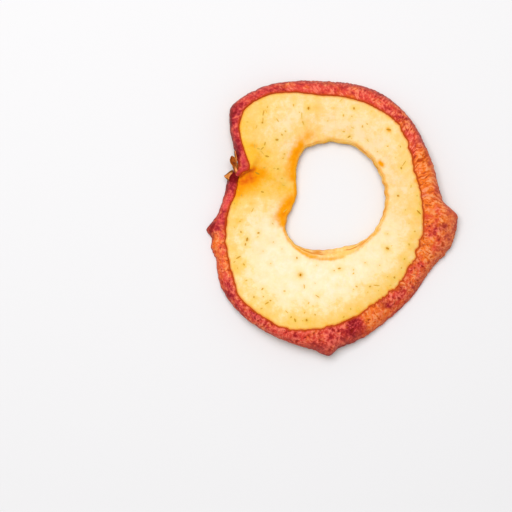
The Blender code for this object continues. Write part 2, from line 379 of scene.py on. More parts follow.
# The second streak runs along the step under the knob and partly paints its shade. The others are
# browning.
BROWN_STREAKS = (
    (((168.8, 0.0250), (167.0, 0.0236), (165.6, 0.0226)), 0.0017, 1.0),
    (((165.5, 0.0250), (162, 0.0236), (159.6, 0.0226)), 0.0008, 0.95),
    (((164, 0.0222), (159.8, 0.0204)), 0.0016, 0.45),
    (((168, 0.0245), (172.6, 0.0246), (176, 0.0250)), 0.0012, 0.58),
    (((160, 0.0212), (168, 0.0215), (174, 0.0222)), 0.0036, 0.22),
    (((178, 0.0108), (185, 0.0120), (190, 0.0131), (196, 0.0141), (203, 0.0145)), 0.0013, 0.62),
    (((180, 0.0120), (188, 0.0136), (198, 0.0152)), 0.0022, 0.34),
    (((152, 0.0122), (143, 0.0134), (136, 0.0148), (130, 0.0157), (123, 0.0164)), 0.0010, 0.60),
    (((150, 0.0136), (136, 0.0160), (124, 0.0176), (112, 0.0180)), 0.0018, 0.36),
    (((43, 0.0147), (37, 0.0148)), 0.0009, 0.28),
    (((40.6, 0.0146), (38.6, 0.0147)), 0.0005, 0.62),
    (((54.4, 0.0223), (52.6, 0.0222)), 0.0005, 0.45),
    (((14, 0.0205), (13, 0.0213)), 0.0007, 0.45),
    (((147, 0.0258), (146, 0.0247)), 0.0006, 0.35),
    (((327, 0.0132), (318, 0.0130)), 0.0005, 0.40),
)
EDGE_BROWNING = (
    (0, 0.50), (25, 0.45), (55, 0.40), (80, 0.25), (110, 0.40), (140, 0.80), (165, 0.9), (190, 0.95),
    (215, 0.60), (240, 0.75), (262, 0.7), (285, 0.3), (315, 0.55), (340, 0.30),
)


def streaks(table, grid):
    """Soft streaks along (angle, radius) points, each with a width and a strength."""
    total = np.zeros(grid.shape[:-1])
    for stops, width, strength in table:
        turns = np.radians([stop[0] for stop in stops])
        radii = np.array([stop[1] for stop in stops])
        line = np.stack((radii * np.cos(turns), radii * np.sin(turns)), -1) + HOLE_CENTRE
        away = np.full(total.shape, np.inf)
        for start, end in zip(line[:-1], line[1:]):
            leg = end - start
            share = np.clip((grid[..., :2] - start) @ leg / (leg @ leg), 0, 1)
            near = start + share[..., None] * leg
            away = np.minimum(away, np.linalg.norm(grid[..., :2] - near, axis=-1))
        total = total + (1 - np.clip(total, 0, 1)) * strength * np.exp(-((away / width) ** 2))
    return total


stain = streaks(BROWN_STREAKS, flesh_grid)
to_hole = np.maximum(flesh_radius - hole[:, None], 0) * 1000
to_peel = np.maximum(border[:, None] - flesh_radius, 0) * 1000
edge = outline(EDGE_BROWNING, a)[:, None] * np.exp(-((to_hole / 0.45) ** 2))
yellow = outline(YELLOWING, a)[:, None] + streaks(YELLOW_STREAKS, flesh_grid)
yellow = yellow + outline(YELLOW_BY_THE_PEEL, a)[:, None] * np.exp(-((to_peel / 6.5) ** 2))
yellow = yellow + 0.25 * np.exp(-to_peel / 1.2)
note(flesh, "stain", np.maximum(stain * (1 - 0.5 * wall), edge * (1 - 0.75 * wall)))
note(flesh, "yellow", yellow + 0.35 * np.exp(-to_hole / 1.2) + 0.4 * wall)
note(flesh, "to_peel", to_peel)
note(flesh, "wall", wall)
note(flesh, "tanned", np.broadcast_to(outline(TANNED, a)[:, None], wall.shape))
# The step of the fold, where the flesh gets painted shade under the knob.
note(flesh, "ledge_shade", 4 * flesh_step * (1 - flesh_step) * sharp * (1 - wall))
note(flesh, "cut_face", (1 - buried) * (1 - wall))
around = np.radians(angle_grid) * 15.0
round_section = np.broadcast_to(measure(flesh_grid[0]), around.shape)
note(flesh, "wrap", np.stack((around, round_section, 0 * around), -1))
print(f"browned: {100 * float((stain > 0.3).mean()):.1f}% of the flesh's points")

# %% [markdown]
# ## The peel
#
# The peel is a thin closed band that starts under the fold of the blossom end, runs once round the
# rim, and ends as a rounded knob that lies over its own start. A Solidify modifier could thicken an
# open sheet, but a closed section with a rounded cut edge gives the dark, rolled border that dried
# peel has. The two ends overlap, so the band isn't a closed ring.

# %% The peel as a band with two ends
PEEL_START, PEEL_END = 163.4, 526.4
PEEL_THICKNESS, KNOB_EXTRA = 0.00045, 0.0007
KNOB_ROUNDNESS, KNOB_LEAN = 2.6, (-0.0009, 0.0002)
PEEL_POINTS, SHOWN_CONTROLS, SHOWN_SHARE = 62, 17.5, 0.8
peel_angles = np.union1d(
    np.linspace(PEEL_START, PEEL_END, 1420), np.linspace(PEEL_END - 14, PEEL_END, 70)
)
a = peel_angles
border, rim = border_at(a), rim_at(a)
rim = rim - 0.0002 * ease((a - 519) / 5)
tucked_in = hump(a, 165, 5) * (a < 200)
border, rim = border + 0.0004 * tucked_in, rim + 0.0005 * tucked_in
to_end = np.clip((PEEL_END - a) / 4.6, 0, 1)
knob = ease((a - (PEEL_END - 12)) / 8)
thick = PEEL_THICKNESS + KNOB_EXTRA * knob
rows = []
for turn in np.radians(np.linspace(0, 90, 17)):
    radius = border + (rim - border) * np.sin(turn)
    height = PEEL_TUCK + (PEEL_TOP + 0.0002 - PEEL_TUCK) * np.cos(turn)
    rows.append([radius, height + 0 * a, 1 + 0 * a])
rows.append([rim - 0.0001, 0.0002 + 0 * a, 0.5 + 0 * a])
rows.append([rim - 0.0005, 0 * a, 0 * a])
for turn in np.radians((84, 66, 48, 30, 14)):
    radius = border + (rim - border - thick) * np.sin(turn)
    height = PEEL_TUCK + (PEEL_TOP - PEEL_TUCK - thick) * np.cos(turn)
    rows.append([radius, height, 0 * a])
rows.append([border + 0.0001, PEEL_TOP - 0.0005 - 0.0005 * knob, 0 * a])
rows.append([border - 0.00012, PEEL_TOP - 0.0001 + 0 * a, 0.5 + 0 * a])
section = soft_section(
    np.array(rows).transpose(2, 0, 1), PEEL_POINTS, shown=SHOWN_CONTROLS, share=SHOWN_SHARE
)
middle = section[..., :2].mean(1, keepdims=True)
shrink = (1 - (1 - to_end) ** KNOB_ROUNDNESS) ** (1 / KNOB_ROUNDNESS)
shrink = shrink[:, None, None] * 0.97 + 0.03
middle_line = middle + np.array(KNOB_LEAN) * (1 - shrink)
peel_section = middle_line + (section[..., :2] - middle) * shrink
angle_grid = np.broadcast_to(a[:, None], section.shape[:2])
peel_step = np.broadcast_to((a < 300.0).astype(float)[:, None], section.shape[:2])
peel_grid = place(angle_grid, peel_section[..., 0], peel_section[..., 1], peel_step)
peel = skin("apple_peel", peel_grid, wrap=False)

# %% [markdown]
# ## What the peel remembers
# Wrinkles follow the skin, so the peel keeps its own measure: millimetres along the band, and
# millimetres across it from the border. An unwrapped UV map would do the same. Curves round the
# ring say where it is orange (the side of the apple that had less sun), crimson, ridged across the
# band, wrinkled at all, or brown on its outer side (elsewhere that side gets a painted greyish
# reflection), and how strongly a rounded band is painted with a highlight along its middle and
# shade at its edges. A few darker spots are listed by place. The start of the band gets the
# knob's painted shade as extra crimson, which the knob, lying over it, doesn't get.

# %% Measures and colour regions of the peel
ORANGE = (
    (0, 0.60), (10, 0.90), (24, 1.0), (33, 0.60), (42, 0.42), (60, 0.26), (90, 0.16), (120, 0.08),
    (150, 0.0), (176, 0.0), (190, 0.12), (200, 0.74), (210, 0.56), (222, 0.22), (240, 0.10),
    (265, 0.06), (277, 0.15), (287, 0.75), (296, 0.50), (305, 0.42), (318, 0.58), (330, 0.76),
    (345, 0.75),
)
# Above 1, between 164 and 174 degrees, the crimson also paints the shade that the knob casts on the
# start of the band.
CRIMSON = (
    (0, 0.20), (20, 0.10), (38, 0.50), (48, 0.60), (60, 0.45), (90, 0.35), (108, 0.45),
    (118, 0.70), (128, 0.70), (139, 1.20), (147, 1.05), (156, 0.60), (162, 0.90), (166, 2.9),
    (169.5, 2.5), (172.5, 1.40), (176, 0.65), (181, 0.45), (191, 0.80), (200, 0.15), (214, 0.20),
    (224, 0.65), (233, 0.50), (245, 0.60), (258, 0.38), (268, 0.80), (279, 0.75), (286, 0.12),
    (297, 0.22), (304, 0.26),
    (315, 0.24), (328, 0.15), (345, 0.16),
)
CRIMSON_SPOTS = (
    (((275, 0.0304), (278.5, 0.0316)), 0.0013, 0.85), (((276.2, 0.0322), (276.6, 0.0344)), 0.0010, 1.3),
    (((295, 0.0284), (297, 0.0302)), 0.0012, 0.8), (((305.5, 0.0280), (311, 0.0288)), 0.0011, 0.65),
    (((217.5, 0.0353), (221, 0.0363)), 0.0012, 0.8), (((235, 0.0352), (239, 0.0358)), 0.0010, 0.6),
    (((140, 0.0345), (144, 0.0337)), 0.0013, 0.6), (((186, 0.0322), (192, 0.0325)), 0.0014, 0.5),
    (((156, 0.0277), (150, 0.0292)), 0.0008, 1.2), (((344, 0.0262), (347, 0.0290)), 0.0009, 0.6),
    (((52, 0.0272), (46, 0.0262)), 0.0012, 0.35), (((21, 0.0256), (27, 0.0258)), 0.0007, 0.5),
)
RIDGED = (
    (0, 0.75), (25, 1.0), (40, 0.65), (60, 0.5), (90, 0.75), (115, 0.6), (150, 0.1), (200, 0.0),
    (240, 0.10), (285, 0.35), (320, 0.35), (345, 0.40),
)
WRINKLED = (
    (0, 1.0), (30, 1.0), (90, 0.85), (125, 0.7), (139, 0.45), (152, 0.25), (165, 0.2),
    (175, 0.35), (200, 0.35), (212, 0.45), (235, 0.85), (270, 0.95), (300, 1.0), (345, 1.0),
)
# How strongly each part of the band is painted as a rounded roll: a painted highlight along its middle
# and painted shade at both its edges.
ROLL_LIGHT_AND_SHADE = (
    (0, 0.10), (60, 0.25), (100, 0.35), (139, 0.7), (160, 0.9), (180, 1.0), (205, 0.8),
    (230, 0.4), (265, 0.2), (300, 0.2), (330, 0.2),
)
# Where this is low, the outer side gets a painted greyish reflection in place of brown.
BROWNED = (
    (0, 0.10), (120, 0.15), (145, 0.9), (215, 0.9), (250, 0.8), (268, 0.35), (284, 0.8), (300, 0.8),
    (325, 0.45), (345, 0.15),
)
# The knob keeps at most this much crimson, so the painted shade at the start of the band stays off it,
# and its rounding is painted half as strong again.
KNOB_CRIMSON_FROM, KNOB_CRIMSON = 500, 0.95
KNOB_LIGHT_AND_SHADE_FROM, KNOB_LIGHT_AND_SHADE = 516, 1.5
along, across = measure(peel_grid[:, 8]), measure(peel_grid)
last_shown = int(PEEL_POINTS * SHOWN_SHARE)
band_width = across[:, last_shown:last_shown + 1]
across = np.where(across > band_width * 1.25, 0, across)
along_grid = np.broadcast_to(along[:, None], across.shape)
note(peel, "strip", np.stack((along_grid, across, 0 * across), -1))
note(peel, "skin", section[..., 2] * np.clip(shrink[..., 0] * 1.5 - 0.4, 0, 1))
tables = {
    "orange": ORANGE, "crimson": CRIMSON, "ridged": RIDGED, "wrinkled": WRINKLED,
    "roll_light_and_shade": ROLL_LIGHT_AND_SHADE, "browned": BROWNED,
}
for name, knots in tables.items():
    values = outline(knots, a)
    if name == "crimson":
        values = np.where(a > KNOB_CRIMSON_FROM, np.minimum(values, KNOB_CRIMSON), values)
    if name == "roll_light_and_shade":
        values = np.where(a > KNOB_LIGHT_AND_SHADE_FROM, KNOB_LIGHT_AND_SHADE * values, values)
    note(peel, name, np.broadcast_to(values[:, None], across.shape))
note(peel, "outward", np.clip(across / band_width, 0, 1))
note(peel, "crimson_spot", streaks(CRIMSON_SPOTS, peel_grid))
print(f"the band of peel is {along[-1]:.0f} mm long")

# %% [markdown]
# ## Trees that shape a surface
#
# Wrinkles and dents repeat over a whole surface, and that is what Geometry Nodes are for. Each
# tree below has named inputs for its sizes. We set them on the modifier by the socket's identifier,
# read the result back as a plain mesh, and take the modifier off again, so that nothing depends on
# it later. Small helpers keep the trees short: one adds a node and wires it, and the others name
# what is done often, such as a product, a sum on vectors, or adding a noise.


# %% Helpers for trees
def wire(tree, kind, inputs=None, **settings):
    """Adds a node. An input that is a socket is linked, and any other value is set."""
    node = tree.nodes.new(kind)
    for key, value in settings.items():
        setattr(node, key, value)
    for key, value in (inputs or {}).items():
        if isinstance(value, bpy.types.NodeSocket):
            tree.links.new(value, node.inputs[key])
        else:
            node.inputs[key].default_value = value
    return node


def calc(tree, operation, *values):
    """The result of one Math node."""
    return wire(tree, "ShaderNodeMath", dict(enumerate(values)), operation=operation).outputs[0]


def times(tree, first, *others):
    """A product, from left to right."""
    for other in others:
        first = calc(tree, "MULTIPLY", first, other)
    return first


def vector(tree, operation, *values):
    """The result of one Vector Math node."""
    inputs = dict(enumerate(values))
    return wire(tree, "ShaderNodeVectorMath", inputs, operation=operation).outputs[0]


def limit(tree, value, low, high):
    return calc(tree, "MINIMUM", calc(tree, "MAXIMUM", value, low), high)


def add_noise(tree, base, noise, amount):
    """The base, pushed up and down by a noise that lies about 0.5."""
    return calc(tree, "MULTIPLY_ADD", calc(tree, "SUBTRACT", noise, 0.5), amount, base)


def between(tree, share, low, high):
    """A number that goes from low to high as the share goes from 0 to 1."""
    node = wire(tree, "ShaderNodeMix", {0: share, 2: low, 3: high}, data_type="FLOAT")
    return node.outputs[0]


def span(tree, value, low, high, kind="SMOOTHSTEP"):
    """0 below low, 1 above high, and soft in between."""
    inputs = {"Value": value, "From Min": low, "From Max": high}
    return wire(tree, "ShaderNodeMapRange", inputs, interpolation_type=kind).outputs[0]


def cloud(tree, vector, scale, detail=2.0, rough=0.5):
    """Soft noise about 0.5, with lumps of 1 / scale."""
    inputs = {"Vector": vector, "Scale": scale, "Detail": detail, "Roughness": rough}
    return wire(tree, "ShaderNodeTexNoise", inputs).outputs[0]


def worms(tree, vector, scale, detail=1.0):
    """Winding ridges: high where soft noise crosses its middle."""
    swing = calc(tree, "SUBTRACT", cloud(tree, vector, scale, detail), 0.5)
    return calc(tree, "SUBTRACT", 1.0, times(tree, calc(tree, "ABSOLUTE", swing), 5.0))


def shaping_tree(name, sizes):
    """A tree with a mesh in, a mesh out, and a named input for each size."""
    tree = bpy.data.node_groups.new(name, "GeometryNodeTree")
    tree.interface.new_socket("Mesh", in_out="INPUT", socket_type="NodeSocketGeometry")
    tree.interface.new_socket("Mesh", in_out="OUTPUT", socket_type="NodeSocketGeometry")
    kinds = {float: "NodeSocketFloat", int: "NodeSocketInt", str: "NodeSocketMaterial"}
    for label, value in sizes.items():
        kind = kinds[type(value)]
        socket = tree.interface.new_socket(label, in_out="INPUT", socket_type=kind)
        if kind != "NodeSocketMaterial":
            socket.default_value = value
    return tree, wire(tree, "NodeGroupInput"), wire(tree, "NodeGroupOutput")


def noted(tree, name, kind="FLOAT"):
    inputs = {"Name": name}
    return wire(tree, "GeometryNodeInputNamedAttribute", inputs, data_type=kind).outputs[0]


def shape(thing, tree, values, name=None):
    """Runs a tree on a piece and keeps the result as a plain mesh, on it or on a new piece."""
    modifier = thing.modifiers.new(tree.name, "NODES")
    modifier.node_group = tree
    for item in tree.interface.items_tree:
        if item.in_out == "INPUT" and item.name in values:
            modifier[item.identifier] = values[item.name]
    graph = bpy.context.evaluated_depsgraph_get()
    ready = thing.evaluated_get(graph)
    mesh = bpy.data.meshes.new_from_object(ready, preserve_all_data_layers=True, depsgraph=graph)
    thing.modifiers.clear()
    if name:
        thing = put(name, mesh)
    else:
        thing.data = mesh
    print(f"{tree.name} made {thing.name}: {len(mesh.polygons)} faces")
    return thing


def store(tree, geometry, name, value):
    """Keeps a number for every point, under a name."""
    return wire(
        tree, "GeometryNodeStoreNamedAttribute", {"Geometry": geometry, "Name": name, "Value": value},
        data_type="FLOAT", domain="POINT",
    ).outputs[0]


def push_out(tree, geometry, push):
    """Moves every point along its normal."""
    normal = wire(tree, "GeometryNodeInputNormal").outputs[0]
    inputs = {0: normal, "Scale": push}
    offset = wire(tree, "ShaderNodeVectorMath", inputs, operation="SCALE").outputs[0]
    return wire(tree, "GeometryNodeSetPosition", {"Geometry": geometry, "Offset": offset}).outputs[0]


def end_tree(tree, result, geometry, material):
    """Makes instances real, gives the material and hands the mesh out."""
    whole = wire(tree, "GeometryNodeRealizeInstances", {"Geometry": geometry}).outputs[0]
    painted = wire(tree, "GeometryNodeSetMaterial", {"Geometry": whole, "Material": material})
    tree.links.new(painted.outputs[0], result.inputs[0])


# %% [markdown]
# ## Materials, first as names
#
# The trees have to say which material they give, so the finishes of the pieces and of the table are
# made here as empty materials. Their nodes come further down, once every piece has its shape.

# %% Empty materials
finishes = {name: bpy.data.materials.new(name) for name in (
    "dried_flesh", "dried_peel", "dry_sepal", "vein_fleck", "pale_table",
)}
print("finishes:", ", ".join(finishes))

# %% [markdown]
# ## Wrinkles in the peel
#
# As the flesh inside shrinks, the peel has too much skin and folds. On the right of the ring it
# folds into fine ridges across the band, and elsewhere into short winding worms. Both are noise on
# the band's own measure: squeezed along it for the ridges, which bow a little on their way across,
# and even for the worms. The tree also keeps each wrinkle's height, because the crests are painted
# paler and the grooves darker, partly as skin colour and partly as highlight and shade.

# %% The wrinkle tree
tree, given, result = shaping_tree("peel_wrinkles", {
    "Wrinkle depth": 0.00036, "Wrinkle size": 0.76, "Dent depth": 0.0007, "Dent size": 3.0,
    "Finish": "material",
})
sizes = given.outputs
strip = noted(tree, "strip", "FLOAT_VECTOR")
outward, ridged = noted(tree, "outward"), noted(tree, "ridged")
pitch = calc(tree, "DIVIDE", 1.0, sizes["Wrinkle size"])
sway = wire(tree, "ShaderNodeTexNoise", {"Vector": strip, "Scale": 0.45, "Detail": 1.0}).outputs[1]
sway = vector(tree, "SUBTRACT", sway, (0.5, 0.5, 0.5))
bent = vector(tree, "MULTIPLY_ADD", sway, (2.2, 2.2, 2.2), strip)
arch = calc(tree, "POWER", calc(tree, "SUBTRACT", outward, 0.35), 2.0)
arch = wire(tree, "ShaderNodeCombineXYZ", {0: times(tree, arch, 5.0)}).outputs[0]
squeezed = vector(tree, "MULTIPLY", vector(tree, "ADD", bent, arch), (1.5, 0.28, 1.0))
ridges = add_noise(tree, 0.5, cloud(tree, squeezed, pitch, 1.0), 2.6)
winding = worms(tree, bent, times(tree, pitch, 0.62))
crest = between(tree, ridged, winding, ridges)
crest = add_noise(tree, crest, cloud(tree, strip, times(tree, pitch, 2.2), 1.0), 0.45)
slack = add_noise(tree, 0.8, cloud(tree, strip, 0.28, 1.0), 2.2)
folded = times(tree, noted(tree, "wrinkled"), limit(tree, slack, 0.45, 1.0))
crest = limit(tree, between(tree, folded, 0.5, crest), 0.0, 1.0)
dents = cloud(tree, strip, calc(tree, "DIVIDE", 1.0, sizes["Dent size"]))
push = times(tree, calc(tree, "SUBTRACT", crest, 0.55), sizes["Wrinkle depth"])
push = add_noise(tree, push, dents, sizes["Dent depth"])
less_outside = between(tree, span(tree, outward, 0.1, 0.85, "LINEAR"), 1.1, 0.2)
less_at_border = between(tree, span(tree, outward, 0.0, 0.25), 0.35, 1.0)
push = times(tree, push, noted(tree, "skin"), less_outside, less_at_border)
creased = push_out(tree, store(tree, given.outputs["Mesh"], "crest", crest), push)
end_tree(tree, result, creased, sizes["Finish"])
peel = shape(peel, tree, {"Finish": finishes["dried_peel"]})

# %% [markdown]
# ## Dents and pores in the flesh
#
# Dried flesh is nearly smooth to the eye, but light from the side shows wide soft dents, fine
# pores, and rings along the wall of the hole, where the cutter went through. Each of them is a
# noise with its own size, faded in by what the points remember.

# %% The flesh tree
tree, given, result = shaping_tree("flesh_dents", {
    "Dent depth": 0.00034, "Dent size": 0.0045, "Pore depth": 0.00006, "Pore size": 0.0007,
    "Groove depth": 0.00014, "Finish": "material",
})
sizes = given.outputs
where = wire(tree, "GeometryNodeInputPosition").outputs[0]
wide = cloud(tree, where, calc(tree, "DIVIDE", 1.0, sizes["Dent size"]))
small = cloud(tree, where, calc(tree, "DIVIDE", 1.0, sizes["Pore size"]), 3.0)
long = vector(tree, "MULTIPLY", noted(tree, "wrap", "FLOAT_VECTOR"), (0.16, 2.4, 1.0))
grooves = cloud(tree, long, 1.0, 2.0)
push = add_noise(tree, 0.0, wide, sizes["Dent depth"])
push = add_noise(tree, push, small, sizes["Pore depth"])
push = times(tree, push, noted(tree, "cut_face"))
cuts = add_noise(tree, 0.0, grooves, sizes["Groove depth"])
push = calc(tree, "MULTIPLY_ADD", cuts, noted(tree, "wall"), push)
dented = store(tree, push_out(tree, given.outputs["Mesh"], push), "groove", grooves)
end_tree(tree, result, dented, sizes["Finish"])
flesh = shape(flesh, tree, {"Finish": finishes["dried_flesh"]})

# %% [markdown]
# ## Where the veins show
#
# Thin veins run through an apple, and where the knife cut them they dry to small olive dashes and
# dots. The ones that catch the eye are listed here: how far right and up from the middle of the
# hole, how long (all in steps of 0.255 mm), which way they point, and how dark they are. A ray
# from above finds the flesh under each. Drawing them as texture would blur them, so each mark
# becomes a small grain that lies in the surface.

# %% Marks of veins on the upper face
STEP = 0.000255
MARKS = (
    (-73, 87, 7, 78, 0.6), (-73.5, 80.5, 5, 88, 0.35), (-74, 77.5, 2.4, 60, 0.8),
    (-69, 93, 2.4, 80, 0.4), (-43, 95, 3, 95, 0.35), (-28, 92, 3.2, 80, 0.9),
    (-34.7, 85, 9, 92, 0.25), (-33.5, 78, 3.5, 110, 0.35), (-89, 78, 3, 0, 0.3),
    (-80, 73, 5, 70, 0.25), (-51, 69, 2.6, 150, 0.3), (-54.5, 65.5, 2.6, 120, 0.5),
    (-59.5, 60.5, 3.8, 0, 0.8), (-71.5, 56.5, 4.5, 76, 0.55), (-74, 52, 6, 41, 0.55),
    (-78, 51.5, 4, 165, 0.4), (-81.8, 54, 5.5, 95, 0.3), (-74.5, 48, 7, 135, 0.3),
    (-69.5, 44, 5, 165, 0.75), (-52, 46.5, 2.6, 10, 0.35), (-72, 32.5, 3, 20, 0.4),
    (-62, 32, 3, 0, 0.25), (-58.5, 31.5, 3, 0, 0.6), (-79, 27, 5.5, 152, 0.85),
    (-54.5, 22, 2.6, 0, 0.3), (7, 85, 3, 90, 0.3), (7.5, 69, 3.5, 170, 0.25),
    (17.5, 92, 3, 95, 0.8), (26, 74, 3, 85, 0.35), (13, 64, 4.6, 32, 0.7),
    (52, 70.5, 5.5, 170, 0.9), (51, 54, 2.6, 0, 0.25),
    (63.5, 53.5, 2.4, 90, 0.4), (67, 36.5, 8, 55, 0.45), (64.3, 32, 3, 100, 0.7),
    (74, 14, 4, 85, 0.3), (61.5, 4.5, 3.2, 170, 0.75), (80, 4.5, 2.2, 60, 0.3),
    (82, -12, 7, 135, 0.85), (78, -31, 2.4, 20, 0.4), (72.5, -44, 2.6, 120, 0.5),
    (51, -48, 4.2, 155, 0.9), (68, -58.5, 2.4, 60, 0.5), (73, -62, 2.2, 0, 0.3),
    (65, -67.5, 2.4, 100, 0.4), (58, -77, 2.8, 120, 0.7), (33.5, -86, 2.8, 15, 0.55),
    (40, -85, 8, 175, 0.5), (54, -85, 3, 0, 0.25), (20, -86, 3, 150, 0.35),
    (14, -108.5, 2.6, 90, 0.35), (17, -73, 2.6, 45, 0.2), (-74, 8.5, 3.8, 165, 0.65),
    (-95, 5, 2.4, 90, 0.5), (-102, -3, 2.4, 80, 0.4), (-96.5, -21, 3, 20, 0.35),
    (-95.5, -31.5, 2.8, 110, 0.55), (-89.3, -39, 4.6, 80, 0.9), (-91, -44, 3.4, 80, 0.6),
    (-78, -32.5, 3.2, 10, 0.65), (-98, -57, 6, 28, 0.65), (-102, -61.5, 3, 25, 0.3),
    (-92.5, -64, 3.2, 135, 0.5), (-90, -80, 3, 20, 0.3), (-74, -88.5, 3.2, 45, 0.5),
    (-82.5, -96.5, 2.8, 90, 0.5), (-69.5, -102.5, 5.5, 30, 0.55), (-66, -100, 2.6, 0, 0.5),
    (-75, -108, 3, 20, 0.35), (-39.5, -57.5, 3, 100, 0.5), (-36, -74.5, 3.2, 80, 1.0),
    (3, -68, 3.8, 10, 0.6), (-45.5, -116.5, 2.6, 60, 0.5), (-41.5, -119.5, 4.4, 110, 0.75),
    (-30, -119.5, 3, 100, 0.9), (-32, -112, 2.6, 60, 0.3), (-21.5, -114, 2.6, 120, 0.35),
    (-28, -102.5, 3, 60, 0.2), (7, -116.5, 3, 45, 0.45), (-52, -90.5, 3, 0, 0.2),
)
surface = BVHTree.FromObject(flesh, bpy.context.evaluated_depsgraph_get())
found, facing, facts = [], [], []
for right, up, length, heading, tone in MARKS:
    above = Vector((HOLE_CENTRE[0] + right * STEP, HOLE_CENTRE[1] + up * STEP, 0.02))
    point, normal = surface.ray_cast(above, Vector((0, 0, -1)))[:2]
    if point is None:
        continue
    found.append(point)
    facing.append(normal)
    facts.append((length * STEP, math.radians(heading), tone))
mesh = bpy.data.meshes.new("marks")
mesh.from_pydata(found, [], [])
marks = put("marks", mesh)
note(marks, "facing", facing)
for column, name in enumerate(("length", "heading", "tone")):
    note(marks, name, [fact[column] for fact in facts])
print(len(found), "marks lie on the flesh")

# %% [markdown]
# ## Grains on the marks
#
# Both kinds of fleck, the listed ones and the faint ones that are strewn over both faces, are the
# same small grain: an icosphere of twenty faces, stretched, turned and half sunk. One helper puts
# it on any points, so the two trees differ only in where their points come from.


# %% A tree that lays grains on the marks
def lay_grains(tree, result, points, upright, turn, measures, tone, material):
    """Puts a turned grain on each point, keeps its darkness, and ends the tree."""
    spin = wire(tree, "ShaderNodeCombineXYZ", {2: turn}).outputs[0]
    turned = wire(
        tree, "FunctionNodeRotateRotation", {0: upright, 1: spin}, rotation_space="LOCAL"
    ).outputs[0]
    scale = wire(tree, "ShaderNodeCombineXYZ", dict(enumerate(measures))).outputs[0]
    grain = wire(tree, "GeometryNodeMeshIcoSphere", {"Radius": 0.5, "Subdivisions": 1}).outputs[0]
    strewn = wire(tree, "GeometryNodeInstanceOnPoints", {
        "Points": store(tree, points, "tone", tone), "Instance": grain,
        "Rotation": turned, "Scale": scale,
    })
    end_tree(tree, result, strewn.outputs[0], material)


SHORT_MARK = 0.0010
tree, given, result = shaping_tree("vein_marks", {
    "Width": 0.00044, "Thickness": 0.0001, "Finish": "material",
})
sizes = given.outputs
points = wire(tree, "GeometryNodeMeshToPoints", {"Mesh": given.outputs["Mesh"]}).outputs[0]
tone, length = noted(tree, "tone"), noted(tree, "length")
breadth = times(tree, sizes["Width"], calc(tree, "MULTIPLY_ADD", tone, 0.6, 0.75))
slim = calc(tree, "DIVIDE", SHORT_MARK, calc(tree, "MAXIMUM", length, SHORT_MARK))
breadth = times(tree, breadth, calc(tree, "POWER", slim, 0.5))
aim = {"Vector": noted(tree, "facing", "FLOAT_VECTOR")}
upright = wire(tree, "FunctionNodeAlignRotationToVector", aim, axis="Z").outputs[0]
lay_grains(
    tree, result, points, upright, noted(tree, "heading"),
    (length, breadth, sizes["Thickness"]), tone, sizes["Finish"],
)
veins = shape(marks, tree, {"Finish": finishes["vein_fleck"]}, "vein_marks")
bpy.data.objects.remove(marks)

# %% [markdown]
# ## Faint flecks on both faces
#
# Between the marks, and on the lower face too, there are many fainter ones. Points are strewn with
# a least distance between them, and each gets a grain of random length, width and darkness.

# %% A tree that strews faint flecks
tree, given, result = shaping_tree("faint_flecks", {
    "Spacing": 0.0026, "Per area": 60000.0, "Shortest": 0.00035, "Longest": 0.0018,
    "Width": 0.00026, "Thickness": 0.0001, "Seed": 11, "Finish": "material",
})
sizes = given.outputs
spread = wire(tree, "GeometryNodeDistributePointsOnFaces", {
    "Mesh": given.outputs["Mesh"], "Distance Min": sizes["Spacing"], "Density Max": sizes["Per area"],
    "Density Factor": noted(tree, "cut_face"), "Seed": sizes["Seed"],
}, distribute_method="POISSON").outputs


def draw(tree, low, high, shift):
    """A seeded random number for each fleck."""
    seed = wire(tree, "FunctionNodeIntegerMath", {0: sizes["Seed"], 1: shift}).outputs[0]
    inputs = {2: low, 3: high, "Seed": seed}
    return wire(tree, "FunctionNodeRandomValue", inputs, data_type="FLOAT").outputs[1]


rare = calc(tree, "POWER", draw(tree, 0.0, 1.0, 1), 4.0)
length = between(tree, rare, sizes["Shortest"], sizes["Longest"])
breadth = times(tree, draw(tree, 0.7, 1.3, 2), sizes["Width"])
lay_grains(
    tree, result, spread["Points"], spread["Rotation"], draw(tree, 0.0, 6.2832, 3),
    (length, breadth, sizes["Thickness"]), draw(tree, 0.05, 0.4, 4), sizes["Finish"],
)
flecks = shape(flesh, tree, {"Finish": finishes["vein_fleck"]}, "faint_flecks")

# %% [markdown]
# ## A halo round each fleck
#
# The juice dries yellow round a cut vein. The flesh gets one more number for this: high near a
# fleck, and higher near a dark one. It is cheap to work out from the middles of the grains.


# %% Halos on the flesh
def read(thing, name, width):
    """The values that every point of a piece keeps under a name."""
    attribute = thing.data.attributes[name]
    values = np.empty(len(attribute.data) * width, np.float32)
    attribute.data.foreach_get("vector" if width == 3 else "value", values)
    return values.reshape(-1, width)


GRAIN_POINTS = 12
skin_points = read(flesh, "position", 3)
halo = np.zeros(len(skin_points))
for thing in (veins, flecks):
    middles = read(thing, "position", 3).reshape(-1, GRAIN_POINTS, 3).mean(1)
    tones = read(thing, "tone", 1)[::GRAIN_POINTS, 0]
    for middle, tone in zip(middles, tones):
        away = np.linalg.norm(skin_points - middle, axis=1) / (0.0007 + 0.0006 * tone)
        halo = np.maximum(halo, (0.25 + 0.75 * tone) * np.exp(-(away**2)))
note(flesh, "halo", halo)
print(f"halos colour {100 * float((halo > 0.2).mean()):.0f}% of the flesh")

# %% [markdown]
# ## The sepals
#
# The blossom end keeps some dry sepals: a brown one like a small spoon, a wider one under it, a tan
# triangle below them, and a scrap along the edge of the flap. Each is a thin leaf with a root, a
# tip, a width that changes on the way, and sides that curl up. A plane with bones could do it, but a
# small grid with the curl in its formula is enough for something a few millimetres long.


# %% Dry leaves
LEAF_THICKNESS = 0.0002


